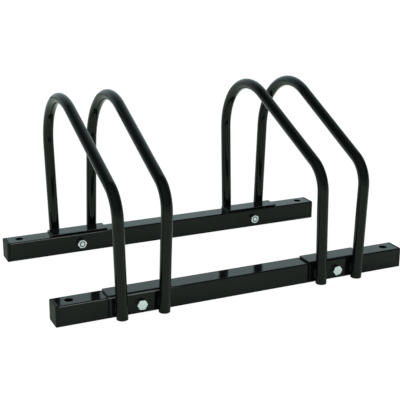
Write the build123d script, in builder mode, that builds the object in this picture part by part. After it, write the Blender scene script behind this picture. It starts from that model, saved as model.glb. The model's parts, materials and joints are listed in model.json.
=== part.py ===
from build123d import *
import os
from math import cos, radians, sin, tan

# Floor bicycle rack for two wheels: two square-tube rails carry two pairs of bent round-tube hoops.
# Each pair is welded to an angle bracket at the front and at the rear.
# One bolt holds each bracket to its rail.
# Millimetres. X runs along the rails, -Y is the front where the wheel rolls in, Z is up.
# The origin is on the floor, midway between the rails and between their ends.

# Rails
rail_size = 30.0          # square tube, outside
rail_wall = 1.5
rail_inner_r = 0.5        # corner radius inside the tube
rail_gap = 225.0          # clear distance between the two rails
rail_overhang = 67.0      # bare rail from the end of a bracket to the end of the tube
anchor_hole_d = 12.0      # floor anchor holes, for M10 anchors
anchor_inset = 17.5       # tube end to the middle of an anchor hole

# Rail end caps
cap_thick = 5.0           # head outside the tube
cap_edge_r = 1.2          # rounding of the head's outer edge
cap_seam_r = 0.4          # rounding of the head's edge next to the tube
cap_wall = 1.8            # wall of the hollow spigot
cap_fit = 0.2             # play between spigot and tube, each side
cap_hole_clear = 3.5      # spigot end to the edge of the anchor hole

# Wheel places and hoops
holder_pitch = 306.0      # middle of one wheel place to the middle of the other
hoop_pitch = 60.0         # tube axis to tube axis of a pair, at the floor
hoop_height = 264.0       # floor to the top of a hoop
hoop_splay = 1.6          # lean of each hoop away from its partner, degrees
hoop_slope = 24.2         # rise of the straight between the two bends, degrees
front_bend_r = 43.0       # centre-line radius of the bend over the front leg
rear_bend_r = 90.0        # centre-line radius of the bend over the rear leg
tube_d = 16.0
tube_wall = 1.5
foot_clear = 1.5          # floor to a hoop's foot: the rack stands on its rails

# Foot plugs in the hoops' ends
plug_rim = 1.5            # rim below the tube's end
plug_depth = 10.0         # spigot inside the tube
plug_wall = 1.5
plug_fit = 0.15           # play between spigot and tube, each side
plug_edge_r = 0.5         # rounding of the rim's lower edge

# Brackets
bracket_thick = 3.0
bracket_inner_r = 1.0     # inside radius of the bend
bracket_margin = 7.0      # bracket beyond the outer side of a hoop's leg
bracket_reveal = 3.0      # strip of rail left bare along both edges of the angle
bracket_edge_r = 0.4      # rounding of the cut edges, softened by the paint
bracket_toe_r = 2.2       # rounding of both flanges' toes, on the side towards the rail

# Bolts and nuts, M8
thread_d = 8.0
wrench_size = 13.0        # across flats of head and nut
head_height = 5.3
nut_height = 6.8
bolt_end_out = 0.2        # thread standing out past the nut
bolt_end_chamfer = 1.0
bolt_play = 1.0           # hole over thread, on the diameter
nut_play = 0.2            # nut bore over thread, on the diameter
hex_chamfer = 30.0        # slope of the chamfer on heads and nuts, degrees
head_crown = 1.08         # reach of a head's flat face, as a share of the wrench size
nut_crown = 0.95          # reach of a nut's flat faces, as a share of the wrench size

# Weld beads between legs and brackets
weld_length = 15.0
weld_angle = 55.0         # how far round the leg a bead reaches, degrees
weld_toe = 1.0            # toe of the bead on the bracket, beyond its edge on the leg
weld_root = 2.0           # start of the bead, sideways from the line where leg and bracket touch

# Derived sizes
tube_r = tube_d / 2
rail_corner_r = rail_inner_r + rail_wall
rail_bore = rail_size - 2 * rail_wall
rail_y = rail_gap / 2 + rail_size / 2
rail_outer_y = rail_gap / 2 + rail_size
bracket_face_y = rail_outer_y + bracket_thick
bracket_length = hoop_pitch + tube_d + 2 * bracket_margin
toe_r = min(bracket_toe_r, bracket_thick - 2 * bracket_edge_r)
leg_y = bracket_face_y + tube_r
holder_x = holder_pitch / 2
rail_length = holder_pitch + bracket_length + 2 * rail_overhang
anchor_x = rail_length / 2 - anchor_inset
cap_depth = anchor_inset - anchor_hole_d / 2 - cap_hole_clear
bolt_z = rail_size / 2
bolt_hole_d = thread_d + bolt_play
bolt_length = bracket_thick + rail_size + nut_height + bolt_end_out
head_crown_r = head_crown * wrench_size / 2
nut_crown_r = nut_crown * wrench_size / 2
lean = radians(hoop_splay)

# Corners of a hoop's centre line, where its straights would meet, measured in the leaning plane
crest = (hoop_height - tube_r) / cos(lean)
rear_corner = crest - rear_bend_r + rear_bend_r * tan(radians(90 + hoop_slope) / 2)
front_corner = rear_corner - 2 * leg_y * tan(radians(hoop_slope))
tube_end_z = foot_clear + plug_rim

rows = {"front": -1, "rear": 1}
sides = {"left": -1, "right": 1}
partners = {"outer": 1, "inner": -1}

# Turn of the hexagons about the bolt, degrees: as found, no two are wrenched alike
head_turns = {"front_left": 0.0, "front_right": 8.0, "rear_left": 14.0, "rear_right": -10.0}
nut_turns = {"front_left": 20.0, "front_right": -6.0, "rear_left": 3.0, "rear_right": 28.0}

os.makedirs("parts", exist_ok=True)


def save(piece, label):
    piece.part.label = label
    export_step(piece.part, f"parts/{label}.step")


# Rails: square tube, with a vertical anchor hole near each end and a cross hole for each bracket's bolt
for row, back in rows.items():
    with BuildPart() as rail:
        with BuildSketch(Plane.YZ.offset(-rail_length / 2)):
            with Locations((back * rail_y, rail_size / 2)):
                RectangleRounded(rail_size, rail_size, rail_corner_r)
                RectangleRounded(rail_bore, rail_bore, rail_inner_r, mode=Mode.SUBTRACT)
        extrude(amount=rail_length)
        with Locations((-anchor_x, back * rail_y, rail_size), (anchor_x, back * rail_y, rail_size)):
            Hole(anchor_hole_d / 2)
        with BuildSketch(Plane.XZ.offset(-back * rail_y)):
            with Locations((-holder_x, bolt_z), (holder_x, bolt_z)):
                Circle(bolt_hole_d / 2)
        extrude(amount=rail_size, both=True, mode=Mode.SUBTRACT)
    save(rail, f"{row}_rail")

# Rail end caps: a head as large as the tube, and a hollow spigot that stops short of the anchor hole
spigot = rail_bore - 2 * cap_fit
spigot_bore = spigot - 2 * cap_wall
for row, back in rows.items():
    for side, right in sides.items():
        tube_end = Plane(
            origin=(right * rail_length / 2, back * rail_y, rail_size / 2),
            x_dir=(0, 1, 0),
            z_dir=(right, 0, 0),
        )
        with BuildPart() as cap:
            with BuildSketch(tube_end):
                RectangleRounded(rail_size, rail_size, rail_corner_r)
            extrude(amount=cap_thick)
            fillet(cap.faces().sort_by(Axis.X)[-1 if right > 0 else 0].edges(), cap_edge_r)
            fillet(cap.faces().sort_by(Axis.X)[0 if right > 0 else -1].edges(), cap_seam_r)
            with BuildSketch(tube_end):
                RectangleRounded(spigot, spigot, rail_inner_r)
                Rectangle(spigot_bore, spigot_bore, mode=Mode.SUBTRACT)
            extrude(amount=-cap_depth)
        save(cap, f"rail_cap_{row}_{side}")

# Brackets: angle with its top flange on the rail and its upright flange on the rail's outer face
for row, back in rows.items():
    for side, right in sides.items():
        with BuildPart() as bracket:
            with BuildSketch(Plane.YZ.offset(right * holder_x - bracket_length / 2)):
                with BuildLine():
                    FilletPolyline(
                        (back * (rail_outer_y + bracket_thick / 2), bracket_reveal),
                        (back * (rail_outer_y + bracket_thick / 2), rail_size + bracket_thick / 2),
                        (back * (rail_gap / 2 + bracket_reveal), rail_size + bracket_thick / 2),
                        radius=bracket_inner_r + bracket_thick / 2,
                    )
                trace(line_width=bracket_thick)
            extrude(amount=bracket_length)
            inward = 0 if back > 0 else -1
            lower_lip = bracket.faces().sort_by(Axis.Z)[0].edges().filter_by(Axis.X).sort_by(Axis.Y)
            inner_lip = bracket.faces().sort_by(Axis.Y)[inward].edges().filter_by(Axis.X).sort_by(Axis.Z)
            fillet((lower_lip[inward], inner_lip[0]), toe_r)
            lower_face = bracket.faces().sort_by(Axis.Z)[0]
            inner_face = bracket.faces().sort_by(Axis.Y)[inward]
            outer_edge = lower_face.edges().filter_by(Axis.X).sort_by(Axis.Y)[-1 - inward]
            upper_edge = inner_face.edges().filter_by(Axis.X).sort_by(Axis.Z)[-1]
            cut_ends = bracket.faces().filter_by(Axis.X).edges()
            fillet(cut_ends + [outer_edge, upper_edge], bracket_edge_r)
            with BuildSketch(Plane.XZ.offset(-back * rail_outer_y)):
                with Locations((right * holder_x, bolt_z)):
                    Circle(bolt_hole_d / 2)
            extrude(amount=2 * bracket_thick, both=True, mode=Mode.SUBTRACT)
        save(bracket, f"bracket_{row}_{side}")

# Bolts and nuts: one M8 bolt through each bracket and rail, head outside, nut on the rail's inner face
for row, back in rows.items():
    for side, right in sides.items():
        place = f"{row}_{side}"
        head_seat = Plane(
            origin=(right * holder_x, back * bracket_face_y, bolt_z), x_dir=(1, 0, 0), z_dir=(0, back, 0)
        )
        with BuildPart(head_seat) as bolt:
            with BuildSketch(head_seat):
                RegularPolygon(wrench_size / 2, 6, major_radius=False, rotation=head_turns[place])
            extrude(amount=head_height)
            Cone(
                head_crown_r + head_height / tan(radians(hex_chamfer)), head_crown_r, head_height,
                align=(Align.CENTER, Align.CENTER, Align.MIN), mode=Mode.INTERSECT,
            )
            with BuildSketch(head_seat):
                Circle(thread_d / 2)
            extrude(amount=-bolt_length)
            chamfer(bolt.edges().sort_by(Axis.Y)[0 if back > 0 else -1], bolt_end_chamfer)
        save(bolt, f"bolt_{place}")

        nut_seat = Plane(
            origin=(right * holder_x, back * rail_gap / 2, bolt_z), x_dir=(1, 0, 0), z_dir=(0, -back, 0)
        )
        with BuildPart(nut_seat) as nut:
            with BuildSketch(nut_seat):
                RegularPolygon(wrench_size / 2, 6, major_radius=False, rotation=nut_turns[place])
            extrude(amount=nut_height)
            Cone(
                nut_crown_r + nut_height / tan(radians(hex_chamfer)), nut_crown_r, nut_height,
                align=(Align.CENTER, Align.CENTER, Align.MIN), mode=Mode.INTERSECT,
            )
            Cone(
                nut_crown_r, nut_crown_r + nut_height / tan(radians(hex_chamfer)), nut_height,
                align=(Align.CENTER, Align.CENTER, Align.MIN), mode=Mode.INTERSECT,
            )
            Hole((thread_d + nut_play) / 2)
        save(nut, f"nut_{place}")

# Hoops with their foot plugs and weld beads: each hoop lies in a plane that leans away from its partner
for side, right in sides.items():
    for partner, outward in partners.items():
        place = f"{side}_{partner}"
        tilt = right * outward * sin(lean)
        foot_x = right * (holder_x + outward * hoop_pitch / 2)
        across = Vector(cos(lean), 0, -tilt)
        along_leg = Vector(tilt, 0, cos(lean))
        hoop_plane = Plane(origin=(foot_x, 0, 0), x_dir=(0, 1, 0), z_dir=across)

        with BuildPart() as hoop:
            with BuildLine(hoop_plane) as bend_line:
                FilletPolyline(
                    (-leg_y, tube_end_z),
                    (-leg_y, front_corner),
                    (leg_y, rear_corner),
                    (leg_y, tube_end_z),
                    radius=[front_bend_r, rear_bend_r],
                )
            with BuildSketch(Plane(origin=bend_line.line @ 0, z_dir=bend_line.line % 0)):
                Circle(tube_r)
                Circle(tube_r - tube_wall, mode=Mode.SUBTRACT)
            sweep()
        save(hoop, f"hoop_{place}")

        for row, back in rows.items():
            foot = Plane(origin=(foot_x, back * leg_y, 0), x_dir=across, z_dir=along_leg)

            with BuildPart() as plug:
                with BuildSketch(foot.offset(-tube_r)):
                    Circle(tube_r)
                extrude(amount=tube_r + tube_end_z)
                with BuildSketch(foot.offset(tube_end_z)):
                    Circle(tube_r - tube_wall - plug_fit)
                    Circle(tube_r - tube_wall - plug_fit - plug_wall, mode=Mode.SUBTRACT)
                extrude(amount=plug_depth)
                split(bisect_by=Plane.XY.offset(foot_clear), keep=Keep.TOP)
                fillet(plug.faces().sort_by(Axis.Z)[0].edges(), plug_edge_r)
            save(plug, f"foot_plug_{row}_{place}")

            edge_x = tube_r * sin(radians(weld_angle))
            edge_y = -back * tube_r * cos(radians(weld_angle))
            for hand, turn in sides.items():
                with BuildPart() as weld:
                    with BuildSketch(foot.offset((bolt_z - weld_length / 2) / cos(lean))):
                        with BuildLine():
                            Polyline(
                                (turn * weld_root, -back * tube_r),
                                (turn * (edge_x + weld_toe), -back * tube_r),
                                (turn * edge_x, edge_y),
                                (turn * weld_root, edge_y),
                                close=True,
                            )
                        make_face()
                        Circle(tube_r, mode=Mode.SUBTRACT)
                    extrude(amount=weld_length)
                save(weld, f"weld_{row}_{place}_{hand}")
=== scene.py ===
import json
from math import acos, asin, ceil, cos, hypot, pi, radians, sin, sqrt, tan, tau

import bmesh
import bpy
from mathutils import Matrix, Vector


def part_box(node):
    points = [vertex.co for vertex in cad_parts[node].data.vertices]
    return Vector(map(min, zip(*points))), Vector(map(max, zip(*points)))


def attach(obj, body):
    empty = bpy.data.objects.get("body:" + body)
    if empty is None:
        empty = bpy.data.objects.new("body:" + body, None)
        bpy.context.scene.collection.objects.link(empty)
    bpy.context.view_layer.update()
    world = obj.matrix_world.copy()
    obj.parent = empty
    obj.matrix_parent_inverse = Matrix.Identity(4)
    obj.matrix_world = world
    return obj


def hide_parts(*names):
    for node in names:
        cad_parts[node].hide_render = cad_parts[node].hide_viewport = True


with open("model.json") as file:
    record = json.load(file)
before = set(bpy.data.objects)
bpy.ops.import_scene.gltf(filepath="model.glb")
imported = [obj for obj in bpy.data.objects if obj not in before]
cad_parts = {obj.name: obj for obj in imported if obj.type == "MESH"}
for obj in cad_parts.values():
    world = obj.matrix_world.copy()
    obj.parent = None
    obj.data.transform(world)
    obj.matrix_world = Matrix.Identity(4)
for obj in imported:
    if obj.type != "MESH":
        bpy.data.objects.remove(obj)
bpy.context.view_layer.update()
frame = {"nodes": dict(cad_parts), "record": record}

# Floor bicycle rack: glossy black steel, matte plastic end caps and bright zinc fasteners.
# Metres. X runs along the rails, -Y is the front, Z is up.

ROWS = {"front": -1, "rear": 1}
SIDES = {"left": -1, "right": 1}
PARTNERS = {"outer": 1, "inner": -1}

# Fasteners, M8
WRENCH_SIZE = 0.013         # across flats
THREAD_RADIUS = 0.004
THREAD_PITCH = 0.00125
THREAD_DEPTH = 0.00077
THREAD_LENGTH = 0.022
CREST_HALF = 1 / 16         # half the flat crest, in pitches
FLANK = 5 / 16              # sloping flank, in pitches
THREAD_STEPS = 12           # rings to one pitch
HEX_SIDES = 6
FLAT_STEPS = 8              # points along one side of a hexagon
HEX_CHAMFER = radians(30)
HEAD_CROWN = 1.08           # reach of a head's flat face, as a share of the wrench size
NUT_CROWN = 0.95            # reach of a nut's flat faces, as a share of the wrench size
HEX_CORNER = 0.985          # corners worn round, as a share of the sharp corner's reach
FACE_HEIGHT = 0.0004        # washer face under the head
FACE_SHARE = 0.9            # washer face, as a share of the wrench size
BOLT_TIP = 0.001            # chamfer at the bolt's end
NUT_BORE = 0.0041
NUT_SINK = 0.0005           # countersink of the nut's bore
HEX_SHARP = radians(25)     # edges over this angle stay sharp
FLAT_END = 0.95             # faces turned this much along the bolt are its flat ends
SAME_POINT = 1e-7           # points closer than this are one

# Turn of the hexagons about the bolt, degrees, as the nodes have them
HEAD_TURNS = {"front_left": 0.0, "front_right": 8.0, "rear_left": 14.0, "rear_right": -10.0}
NUT_TURNS = {"front_left": 20.0, "front_right": -6.0, "rear_left": 3.0, "rear_right": 28.0}

# Weld beads
HOOP_LEAN = radians(1.6)    # lean of each hoop away from its partner
BEAD_ROOT = 0.002           # start of the bead, sideways from the line where leg and bracket touch
BEAD_CROWN = 0.0006         # how far the bead's face swells out
BEAD_TAPER = 0.0022         # rounded length at each end
BEAD_TIP = 0.3              # size of the very end, as a share of the full bead
BEAD_POINTS = 10            # points across the bead's face
RIPPLE_PITCH = 0.0017       # one drop of the weld to the next
RIPPLE_DEPTH = 0.0003
RIPPLE_BOW = 0.7            # how far the middle of a drop runs ahead, in ripples
RIPPLE_RINGS = 7            # rings to one ripple
RIPPLE_STRAY = 0.12         # how far a drop strays from even spacing, in ripples
RIPPLE_DRIFT = 2.3          # how fast the stray comes and goes, radians to one ripple
PARTNER_SEED = 2.0          # sets the strays of a pair's two hoops apart, radians
BEAD_SHARP = radians(50)

# Finishes: scales are noise cells to a metre, roughness runs from the clearest spots to the dullest
NOISE_MIDDLE = (0.3, 0.7)   # stretch of a noise that is spread over a finish's range
PAINT_IOR = 1.325
PAINT_SHADES = ((0.0030, 0.0042, 0.0036), (0.0046, 0.0060, 0.0053))
PAINT_ROUGHNESS = (0.055, 0.085)
RAIL_AND_BRACKET_ROUGHNESS = (0.045, 0.07)
CLOUD_SCALE = 34.0
HAZE_SCALE = 90.0
PEEL_SCALE = 420.0
PEEL_STRENGTH = 0.05
PEEL_HEIGHT = 0.0004
PLASTIC_IOR = 1.29
PLASTIC_SHADES = ((0.007, 0.008, 0.0075), (0.010, 0.011, 0.0105))
PLASTIC_ROUGHNESS = (0.48, 0.62)
SMUDGE_SCALE = 60.0
GRAIN_SCALE = 2600.0
GRAIN_STRENGTH = 0.25
GRAIN_HEIGHT = 0.0002
BRIGHT_SHADES = ((0.88, 0.88, 0.96), (0.98, 0.98, 1.0))
BRIGHT_ROUGHNESS = (0.12, 0.20)
# Darker zinc on threads and in nut bores: painted shade where the bolt sits in the nut
BORE_SHADE_COLOURS = ((0.05, 0.05, 0.055), (0.11, 0.11, 0.12))
BORE_SHADE_ROUGHNESS = (0.30, 0.45)
BLOTCH_SCALE = 700.0
MARK_SCALE = 3200.0
MARK_STRENGTH = 0.12
MARK_HEIGHT = 0.0001

# Painted highlight: the upper edges of rails and brackets are painted lighter towards the left end
EDGE_HIGHLIGHT_COLOUR = (0.20, 0.205, 0.205)
# Upward share of the surface's direction, and how much painted highlight it gets
EDGE_HIGHLIGHT_FACING = ((0.10, 0.0), (0.22, 1.0), (0.45, 1.0), (0.60, 0.0))
EDGE_HIGHLIGHT_END = -0.09             # place along the rails where the painted highlight has faded out
EDGE_HIGHLIGHT_FULL = -0.13

# Camera, found from the photograph: a square picture of 400 pixels
PICTURE = 400
SENSOR = 36.0               # mm
FOCAL = 934.0               # pixels
VIEW_AZIMUTH = radians(25.03)
VIEW_ELEVATION = radians(17.49)
VIEW_ROLL = radians(0.49)
VIEW_DISTANCE = 1.4087
VIEW_TARGET = Vector((0.0, 0.0, 0.0989))

# Studio
WHITE = (1.0, 1.0, 1.0)
FLOOR_HALF = 8.0
FLOOR_GAP = 0.0002          # floor below the rails' undersides
FLOOR_COLOUR = (0.70, 0.85, 0.75)
FLOOR_WHITE = 1.05          # what the camera sees of the floor, before the shading's share
SHADOW_SHARE = 0.06         # how much of the floor's own shading the camera sees near the rack
SHADOW_NEAR = 0.5           # metres from the middle where that share starts to fade
SHADOW_FAR = 1.4
FILL_COLOUR = (0.27, 0.27, 0.27)
TENT_COLOUR = (0.82, 1.03, 1.06)
TENT_AXIS = (0.44, 0.88, -0.18)     # the bright wall is low behind the rack and a little to its right
# Closeness to that axis, from -1 in front of the rack to 1 at the wall, and brightness
TENT_STOPS = (
    (-0.80, 0.22), (-0.40, 0.14), (-0.12, 0.03), (0.00, 0.00), (0.07, 0.03), (0.11, 0.09),
    (0.16, 0.17), (0.23, 0.32), (0.31, 0.46), (0.42, 0.64), (0.54, 0.82), (0.75, 0.92),
)
# Degrees to the right of straight back, and share of the brightness that is left beyond the wall's edge
WALL_EDGE = ((47.5, 1.0), (53.5, 0.42), (75.0, 0.42), (110.0, 1.0))
# Height over the horizon, and brightness of the low rim all round
RIM_STOPS = ((0.08, 0.5), (0.20, 0.0))
# Place, side of the square and watts
LAMPS = {
    "key_lamp": ((-0.6, -0.5, 2.2), 2.0, 36.0),
    "back_lamp": ((0.7, 1.6, 1.6), 1.6, 18.0),
}


# Node helpers

def new_material(name):
    material = bpy.data.materials.new(name)
    material.use_nodes = True
    nodes = material.node_tree.nodes
    return material, nodes, material.node_tree.links, nodes["Principled BSDF"]


def noise(nodes, links, scale, detail=2.0, rough=0.5):
    """Noise through the part's own metres, so that it runs on from piece to piece."""
    place = nodes.new("ShaderNodeTexCoord")
    texture = nodes.new("ShaderNodeTexNoise")
    texture.inputs["Scale"].default_value = scale
    texture.inputs["Detail"].default_value = detail
    texture.inputs["Roughness"].default_value = rough
    links.new(place.outputs["Object"], texture.inputs["Vector"])
    return texture.outputs["Fac"]


def split(nodes, links, vector):
    """The X, Y and Z of a vector."""
    parts = nodes.new("ShaderNodeSeparateXYZ")
    links.new(vector, parts.inputs["Vector"])
    return parts.outputs


def calculate(nodes, links, operation, first, second):
    step = nodes.new("ShaderNodeMath")
    step.operation = operation
    links.new(first, step.inputs[0])
    links.new(second, step.inputs[1])
    return step.outputs["Value"]


def map_range(nodes, links, value, before, after=(0.0, 1.0)):
    """Maps one range evenly onto another, and holds the ends."""
    span = nodes.new("ShaderNodeMapRange")
    for socket, limit in zip(("From Min", "From Max", "To Min", "To Max"), (*before, *after)):
        span.inputs[socket].default_value = limit
    links.new(value, span.inputs["Value"])
    return span.outputs["Result"]


def colour_ramp(nodes, links, value, stops):
    """Blends colours over a value. The stops are (position, colour)."""
    ramp = nodes.new("ShaderNodeValToRGB")
    elements = ramp.color_ramp.elements
    while len(elements) < len(stops):
        elements.new(1.0)
    for element, (position, colour) in zip(elements, stops):
        element.position = position
        element.color = (*colour, 1.0)
    links.new(value, ramp.inputs["Fac"])
    return ramp.outputs["Color"]


def shades(nodes, links, value, colours):
    """Blends two colours over the middle of a noise."""
    return colour_ramp(nodes, links, value, list(zip(NOISE_MIDDLE, colours)))


def brightness_ramp(nodes, links, value, marks, tint=WHITE):
    """Brightness of one tint over a value. The marks are (position, brightness)."""
    stops = [(position, [brightness * channel for channel in tint]) for position, brightness in marks]
    return colour_ramp(nodes, links, value, stops)


def relief(nodes, links, height, strength, distance):
    bump = nodes.new("ShaderNodeBump")
    bump.inputs["Strength"].default_value = strength
    bump.inputs["Distance"].default_value = distance
    links.new(height, bump.inputs["Height"])
    return bump.outputs["Normal"]


def mix_shaders(nodes, links, share, first, second):
    mix = nodes.new("ShaderNodeMixShader")
    links.new(share, mix.inputs["Fac"])
    links.new(first, mix.inputs[1])
    links.new(second, mix.inputs[2])
    return mix.outputs["Shader"]


# Materials

def painted_edge_highlight(nodes, links):
    """Mask of the painted highlight: one where an edge's rounding turns from side to top, towards the
    left end, and zero elsewhere.
    """
    surface = nodes.new("ShaderNodeNewGeometry")
    facing = split(nodes, links, surface.outputs["Normal"])
    rounding = brightness_ramp(nodes, links, facing["Z"], EDGE_HIGHLIGHT_FACING)
    place = nodes.new("ShaderNodeTexCoord")
    along = split(nodes, links, place.outputs["Object"])
    fade = map_range(nodes, links, along["X"], (EDGE_HIGHLIGHT_END, EDGE_HIGHLIGHT_FULL))
    return calculate(nodes, links, "MULTIPLY", rounding, fade)


def black_paint(name, roughness, with_edge_highlight=False):
    """Smooth gloss paint: nearly a mirror, with a trace of orange peel and faint clouds of gloss, and
    where asked a painted highlight along upper edges.
    """
    material, nodes, links, shader = new_material(name)
    shader.inputs["IOR"].default_value = PAINT_IOR
    clouds = noise(nodes, links, CLOUD_SCALE, detail=3.0)
    colour = shades(nodes, links, clouds, PAINT_SHADES)
    # Painted highlight: a lighter grey mixed in along the upper edges, towards the left end
    if with_edge_highlight:
        edge_highlight_mix = nodes.new("ShaderNodeMix")
        edge_highlight_mix.data_type = "RGBA"
        edge_highlight_mix.inputs["B"].default_value = (*EDGE_HIGHLIGHT_COLOUR, 1.0)
        links.new(painted_edge_highlight(nodes, links), edge_highlight_mix.inputs["Factor"])
        links.new(colour, edge_highlight_mix.inputs["A"])
        colour = edge_highlight_mix.outputs["Result"]
    links.new(colour, shader.inputs["Base Color"])
    haze = noise(nodes, links, HAZE_SCALE, detail=4.0, rough=0.6)
    links.new(map_range(nodes, links, haze, NOISE_MIDDLE, roughness), shader.inputs["Roughness"])
    peel = noise(nodes, links, PEEL_SCALE, detail=1.0)
    links.new(relief(nodes, links, peel, PEEL_STRENGTH, PEEL_HEIGHT), shader.inputs["Normal"])
    return material


def black_plastic(name, roughness):
    """Moulded plastic with a fine grain."""
    material, nodes, links, shader = new_material(name)
    shader.inputs["IOR"].default_value = PLASTIC_IOR
    smudges = noise(nodes, links, SMUDGE_SCALE)
    links.new(shades(nodes, links, smudges, PLASTIC_SHADES), shader.inputs["Base Color"])
    grain = noise(nodes, links, GRAIN_SCALE, detail=3.0, rough=0.7)
    links.new(map_range(nodes, links, grain, NOISE_MIDDLE, roughness), shader.inputs["Roughness"])
    links.new(relief(nodes, links, grain, GRAIN_STRENGTH, GRAIN_HEIGHT), shader.inputs["Normal"])
    return material


def zinc(name, colours, roughness):
    """Zinc plating with soft blotches and fine marks."""
    material, nodes, links, shader = new_material(name)
    shader.inputs["Metallic"].default_value = 1.0
    blotches = noise(nodes, links, BLOTCH_SCALE, detail=3.0)
    links.new(shades(nodes, links, blotches, colours), shader.inputs["Base Color"])
    marks = noise(nodes, links, MARK_SCALE)
    links.new(map_range(nodes, links, marks, NOISE_MIDDLE, roughness), shader.inputs["Roughness"])
    links.new(relief(nodes, links, marks, MARK_STRENGTH, MARK_HEIGHT), shader.inputs["Normal"])
    return material


FINISHES = {
    "black_paint": black_paint("black_paint_gloss", PAINT_ROUGHNESS),
    "black_plastic": black_plastic("black_plastic_matte", PLASTIC_ROUGHNESS),
    "zinc_plating": zinc("bright_zinc", BRIGHT_SHADES, BRIGHT_ROUGHNESS),
}
# Darker zinc for threads and bores, painted shade
SHADED_ZINC = zinc("zinc_painted_shade", BORE_SHADE_COLOURS, BORE_SHADE_ROUGHNESS)
# Paint for rails and brackets, with a painted highlight along their upper edges
HIGHLIGHTED_PAINT = black_paint("black_paint_painted_highlight", RAIL_AND_BRACKET_ROUGHNESS, with_edge_highlight=True)


# Piece helpers

def ring_mesh(name, rings, loop=False):
    """A skin over rings with the same count of points. The ends are closed, or joined in a loop."""
    shape = bmesh.new()
    skin = [[shape.verts.new(point) for point in ring] for ring in rings]
    pairs = list(zip(skin, skin[1:]))
    if loop:
        pairs.append((skin[-1], skin[0]))
    else:
        shape.faces.new(skin[0])
        shape.faces.new(skin[-1])
    for lower, upper in pairs:
        for i in range(len(lower)):
            shape.faces.new((lower[i - 1], lower[i], upper[i], upper[i - 1]))
    bmesh.ops.remove_doubles(shape, verts=shape.verts, dist=SAME_POINT)
    bmesh.ops.recalc_face_normals(shape, faces=shape.faces)
    mesh = bpy.data.meshes.new(name)
    shape.to_mesh(mesh)
    shape.free()
    return mesh


def add_piece(node, mesh, slot, sharp_angle, *more_finishes):
    """A detailed piece in the place of a CAD node, on the rack's one body."""
    mesh.shade_smooth()
    mesh.set_sharp_from_angle(angle=sharp_angle)
    for finish in (FINISHES[slot], *more_finishes):
        mesh.materials.append(finish)
    piece = bpy.data.objects.new(f"{node}_detail", mesh)
    bpy.context.scene.collection.objects.link(piece)
    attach(piece, "root")
    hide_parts(node)


def face_y(node, side):
    """Where the box of a CAD node ends, at the front (-1) or at the rear (1)."""
    low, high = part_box(node)
    return high.y if side > 0 else low.y


def face_matrix(centre, outward):
    """Local +Z along Y in the outward direction, and local +X along the rails."""
    x_axis = Vector((1, 0, 0))
    z_axis = Vector((0, outward, 0))
    turn = Matrix((x_axis, z_axis.cross(x_axis), z_axis)).transposed()
    return Matrix.Translation(centre) @ turn.to_4x4()


# Bolts and nuts

def polar(angle, radius, height):
    return Vector((radius * cos(angle), radius * sin(angle), height))


def round_ring(angles, radius, height):
    return [polar(angle, radius, height) for angle in angles]


def hex_angles(turn):
    count = HEX_SIDES * FLAT_STEPS
    return [turn + tau * i / count for i in range(count)]


def hex_radius(angle, turn):
    side = tau / HEX_SIDES
    from_flat = (angle - turn) % side - side / 2
    return min(WRENCH_SIZE / 2 / cos(from_flat), HEX_CORNER * WRENCH_SIZE / sqrt(3))


def hex_ring(angles, turn, height, crown, chamfer):
    """Points on a hexagon's sides. The chamfer is +1 at an upper edge, -1 at a lower one, else 0."""
    points = []
    for angle in angles:
        radius = hex_radius(angle, turn)
        drop = max(radius - crown, 0.0) * tan(HEX_CHAMFER)
        points.append(polar(angle, radius, height - chamfer * drop))
    return points


def face_ring(angles, turn, height, crown):
    """The rim of a hexagon's flat face, inside the chamfer."""
    return [polar(angle, min(hex_radius(angle, turn), crown), height) for angle in angles]


def thread_ring(angles, above_tip, height):
    """One ring of a right-hand thread: flat crests, sloping flanks, a chamfered tip and a run-out."""
    run_out = min(max((above_tip - THREAD_LENGTH) / THREAD_PITCH + 1.0, 0.0), 1.0)
    points = []
    for angle in angles:
        from_crest = abs((above_tip / THREAD_PITCH - angle / tau) % 1.0 - 0.5)
        cut = min(max((from_crest - CREST_HALF) / FLANK, 0.0), 1.0) * (1.0 - run_out)
        radius = min(THREAD_RADIUS - THREAD_DEPTH * cut, THREAD_RADIUS - BOLT_TIP + above_tip)
        points.append(polar(angle, radius, height))
    return points


def shade_thread_and_bore(mesh, reach):
    """Gives the second finish, darker zinc that is painted shade, to faces round a piece's axis, out to
    the reach, apart from flat ends.
    """
    for face in mesh.polygons:
        if hypot(face.center.x, face.center.y) < reach and abs(face.normal.z) < FLAT_END:
            face.material_index = 1


def make_bolt(row, side):
    """Hexagon head with a washer face, a plain shank and a cut thread."""
    place = f"{row}_{side}"
    node = f"bolt_{place}"
    back = ROWS[row]
    low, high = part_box(node)
    seat_y = face_y(f"bracket_{place}", back)
    head_height = abs(face_y(node, back) - seat_y)
    length = high.y - low.y - head_height
    turn = radians(HEAD_TURNS[place])
    angles = hex_angles(turn)
    steps = ceil(THREAD_LENGTH / THREAD_PITCH * THREAD_STEPS)
    rings = []
    for i in range(steps + 1):
        above_tip = THREAD_LENGTH * i / steps
        rings.append(thread_ring(angles, above_tip, above_tip - length))
    face_radius = FACE_SHARE * WRENCH_SIZE / 2
    crown = HEAD_CROWN * WRENCH_SIZE / 2
    rings += [
        round_ring(angles, THREAD_RADIUS, 0.0),
        round_ring(angles, face_radius, 0.0),
        round_ring(angles, face_radius, FACE_HEIGHT),
        hex_ring(angles, turn, FACE_HEIGHT, crown, 0),
        hex_ring(angles, turn, head_height, crown, 1),
        face_ring(angles, turn, head_height, crown),
    ]
    mesh = ring_mesh(node, rings)
    shade_thread_and_bore(mesh, THREAD_RADIUS)
    mesh.transform(face_matrix(((low.x + high.x) / 2, seat_y, (low.z + high.z) / 2), back))
    add_piece(node, mesh, "zinc_plating", HEX_SHARP, SHADED_ZINC)


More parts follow.
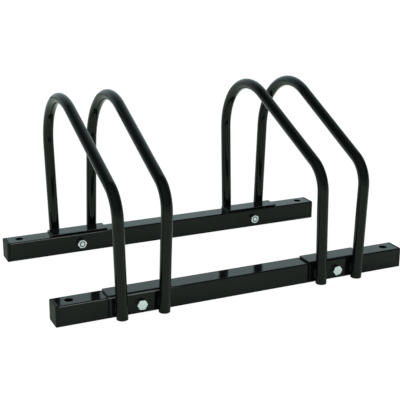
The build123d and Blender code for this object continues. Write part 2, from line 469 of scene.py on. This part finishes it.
def make_nut(row, side):
    """Hexagon nut, chamfered on both faces, with a countersunk bore."""
    place = f"{row}_{side}"
    node = f"nut_{place}"
    back = ROWS[row]
    low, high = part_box(node)
    height = high.y - low.y
    turn = radians(NUT_TURNS[place])
    angles = hex_angles(turn)
    crown = NUT_CROWN * WRENCH_SIZE / 2
    sink_radius = NUT_BORE + NUT_SINK
    rings = [
        round_ring(angles, sink_radius, 0.0),
        face_ring(angles, turn, 0.0, crown),
        hex_ring(angles, turn, 0.0, crown, -1),
        hex_ring(angles, turn, height, crown, 1),
        face_ring(angles, turn, height, crown),
        round_ring(angles, sink_radius, height),
        round_ring(angles, NUT_BORE, height - NUT_SINK),
        round_ring(angles, NUT_BORE, NUT_SINK),
    ]
    mesh = ring_mesh(node, rings, loop=True)
    shade_thread_and_bore(mesh, sink_radius)
    mesh.transform(face_matrix(((low.x + high.x) / 2, face_y(node, back), (low.z + high.z) / 2), -back))
    add_piece(node, mesh, "zinc_plating", HEX_SHARP, SHADED_ZINC)


# Weld beads

def bead_section(radius, reach, angle, size, phase):
    """Points across one bead, as (sideways, outwards) from the line where leg and bracket touch."""
    root_angle = asin(BEAD_ROOT / radius)
    toe = Vector((BEAD_ROOT + (reach - BEAD_ROOT) * size, 0.0))
    edge_angle = root_angle + (angle - root_angle) * size
    edge = Vector((radius * sin(edge_angle), radius * (1 - cos(edge_angle))))
    outward = Vector((edge.y - toe.y, toe.x - edge.x)).normalized()
    points = []
    for i in range(BEAD_POINTS + 1):
        across = i / BEAD_POINTS
        swell = sin(pi * across)
        drop = abs(sin(pi * (phase + RIPPLE_BOW * swell)))
        crown = BEAD_CROWN + RIPPLE_DEPTH * (drop - 1)
        points.append(toe.lerp(edge, across) + outward * swell * size * crown)
    points.append(Vector((BEAD_ROOT, radius * (1 - cos(root_angle)))))
    points.append(Vector((BEAD_ROOT, 0.0)))
    return points


def make_bead(row, side, partner, hand, seed):
    """A fillet weld laid drop by drop up the groove between a leg and its bracket."""
    node = f"weld_{row}_{side}_{partner}_{hand}"
    low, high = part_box(node)
    plug_low, plug_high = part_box(f"foot_plug_{row}_{side}_{partner}")
    back = ROWS[row]
    radius = (plug_high.y - plug_low.y) / 2
    leg_x = (plug_low.x + plug_high.x) / 2
    lean = SIDES[side] * PARTNERS[partner] * tan(HOOP_LEAN)
    touch_y = face_y(node, -back)
    length = high.z - low.z
    middle_x = leg_x + lean * (low.z + high.z) / 2
    reach = max(abs(low.x - middle_x), abs(high.x - middle_x)) - abs(lean) * length / 2
    angle = acos(1 - (high.y - low.y) / radius)
    rings = []
    count = ceil(length / RIPPLE_PITCH * RIPPLE_RINGS)
    for i in range(count + 1):
        rise = length * i / count
        from_end = min(rise, length - rise) / BEAD_TAPER
        size = BEAD_TIP + (1.0 - BEAD_TIP) * sqrt(1.0 - max(1.0 - from_end, 0.0) ** 2)
        phase = rise / RIPPLE_PITCH + RIPPLE_STRAY * sin(RIPPLE_DRIFT * rise / RIPPLE_PITCH + seed)
        z = low.z + rise
        x = leg_x + lean * z
        section = bead_section(radius, reach, angle, size, phase)
        rings.append([Vector((x + SIDES[hand] * p.x, touch_y + back * p.y, z)) for p in section])
    add_piece(node, ring_mesh(node, rings), "black_paint", BEAD_SHARP)


# The rack: finishes on the CAD pieces, then the detailed pieces

for subpart in frame["record"]["subparts"]:
    skins = frame["nodes"][subpart["node"]].data.materials
    skins.clear()
    # Rails and brackets get the paint with the painted edge highlight
    with_edge_highlight = subpart["node"].endswith("_rail") or subpart["node"].startswith("bracket_")
    skins.append(HIGHLIGHTED_PAINT if with_edge_highlight else FINISHES[subpart["material_slot"]])

for row in ROWS:
    for side in SIDES:
        make_bolt(row, side)
        make_nut(row, side)
        for partner in PARTNERS:
            for number, hand in enumerate(SIDES):
                make_bead(row, side, partner, hand, seed=number + PARTNER_SEED * PARTNERS[partner])


# Studio: a white floor that runs out of sight, a bright wall behind the rack and a dark ceiling

def floor_material():
    """White to the camera with a trace of the rack's shadow, and plain pale card to everything else."""
    material, nodes, links, shader = new_material("studio_floor")
    nodes.remove(shader)
    card = nodes.new("ShaderNodeBsdfDiffuse")
    card.inputs["Color"].default_value = (*FLOOR_COLOUR, 1.0)
    white = nodes.new("ShaderNodeEmission")
    white.inputs["Strength"].default_value = FLOOR_WHITE
    place = nodes.new("ShaderNodeTexCoord")
    reach = nodes.new("ShaderNodeVectorMath")
    reach.operation = "LENGTH"
    links.new(place.outputs["Object"], reach.inputs[0])
    fade = ((SHADOW_NEAR, SHADOW_FAR), (1.0 - SHADOW_SHARE, 1.0))
    plain = map_range(nodes, links, reach.outputs["Value"], *fade)
    sight = nodes.new("ShaderNodeLightPath")
    share = calculate(nodes, links, "MULTIPLY", sight.outputs["Is Camera Ray"], plain)
    surface = mix_shaders(nodes, links, share, card.outputs["BSDF"], white.outputs["Emission"])
    links.new(surface, nodes["Material Output"].inputs["Surface"])
    return material


def make_floor():
    corners = [(-1, -1), (1, -1), (1, 1), (-1, 1)]
    points = [(x * FLOOR_HALF, y * FLOOR_HALF, -FLOOR_GAP) for x, y in corners]
    mesh = bpy.data.meshes.new("floor")
    mesh.from_pydata(points, [], [(0, 1, 2, 3)])
    mesh.materials.append(floor_material())
    floor = bpy.data.objects.new("floor", mesh)
    bpy.context.scene.collection.objects.link(floor)


def tent_colour(nodes, links):
    """The wall's light by direction, dimmer beyond its right edge, or the low rim's where brighter."""
    direction = nodes.new("ShaderNodeTexCoord").outputs["Generated"]
    parts = split(nodes, links, direction)
    closeness = nodes.new("ShaderNodeVectorMath")
    closeness.operation = "DOT_PRODUCT"
    closeness.inputs[1].default_value = TENT_AXIS
    links.new(direction, closeness.inputs[0])
    nearness = map_range(nodes, links, closeness.outputs["Value"], (-1.0, 1.0))
    wall_marks = [((1 + near) / 2, brightness) for near, brightness in TENT_STOPS]
    wall = brightness_ramp(nodes, links, nearness, wall_marks, TENT_COLOUR)
    bearing = calculate(nodes, links, "ARCTAN2", parts["X"], parts["Y"])
    turn = map_range(nodes, links, bearing, (-pi, pi))
    edge_marks = [(0.5 + degrees / 360, share) for degrees, share in WALL_EDGE]
    edge = brightness_ramp(nodes, links, turn, edge_marks)
    dimmed = nodes.new("ShaderNodeVectorMath")
    dimmed.operation = "MULTIPLY"
    links.new(wall, dimmed.inputs[0])
    links.new(edge, dimmed.inputs[1])
    rim = brightness_ramp(nodes, links, parts["Z"], RIM_STOPS, TENT_COLOUR)
    both = nodes.new("ShaderNodeMix")
    both.data_type = "RGBA"
    both.blend_type = "LIGHTEN"
    both.inputs["Factor"].default_value = 1.0
    links.new(dimmed.outputs["Vector"], both.inputs["A"])
    links.new(rim, both.inputs["B"])
    return both.outputs["Result"]


def make_world():
    """White to the camera, the tent to glossy surfaces, and an even fill to the rest."""
    world = bpy.data.worlds.new("studio")
    world.use_nodes = True
    nodes = world.node_tree.nodes
    links = world.node_tree.links
    sight = nodes.new("ShaderNodeLightPath")
    tent = nodes["Background"]
    links.new(tent_colour(nodes, links), tent.inputs["Color"])
    fill = nodes.new("ShaderNodeBackground")
    fill.inputs["Color"].default_value = (*FILL_COLOUR, 1.0)
    white = nodes.new("ShaderNodeBackground")
    white.inputs["Color"].default_value = (*WHITE, 1.0)
    glossy = sight.outputs["Is Glossy Ray"]
    around = mix_shaders(nodes, links, glossy, fill.outputs["Background"], tent.outputs["Background"])
    seen = mix_shaders(nodes, links, sight.outputs["Is Camera Ray"], around, white.outputs["Background"])
    links.new(seen, nodes["World Output"].inputs["Surface"])
    bpy.context.scene.world = world


def make_lamp(name, place, size, watts):
    """A large soft lamp over the rack, left out of its mirror-like reflections."""
    light = bpy.data.lights.new(name, "AREA")
    light.shape = "SQUARE"
    light.size = size
    light.energy = watts
    lamp = bpy.data.objects.new(name, light)
    lamp.location = place
    lamp.rotation_euler = (-Vector(place)).to_track_quat("-Z", "Y").to_euler()
    lamp.visible_glossy = False
    bpy.context.scene.collection.objects.link(lamp)


def make_camera():
    """Looks a little down at the rack from its front left, with a slight roll."""
    flat = cos(VIEW_ELEVATION)
    forward = Vector((sin(VIEW_AZIMUTH) * flat, cos(VIEW_AZIMUTH) * flat, -sin(VIEW_ELEVATION)))
    level = Vector((cos(VIEW_AZIMUTH), -sin(VIEW_AZIMUTH), 0.0))
    upright = level.cross(forward)
    right = level * cos(VIEW_ROLL) + upright * sin(VIEW_ROLL)
    up = upright * cos(VIEW_ROLL) - level * sin(VIEW_ROLL)
    lens = bpy.data.cameras.new("camera")
    lens.sensor_width = SENSOR
    lens.lens = SENSOR * FOCAL / PICTURE
    camera = bpy.data.objects.new("camera", lens)
    turn = Matrix((right, up, -forward)).transposed().to_4x4()
    camera.matrix_world = Matrix.Translation(VIEW_TARGET - forward * VIEW_DISTANCE) @ turn
    bpy.context.scene.collection.objects.link(camera)
    bpy.context.scene.camera = camera


make_floor()
make_world()
for name, (place, size, watts) in LAMPS.items():
    make_lamp(name, place, size, watts)
make_camera()
bpy.context.scene.view_settings.view_transform = "Standard"
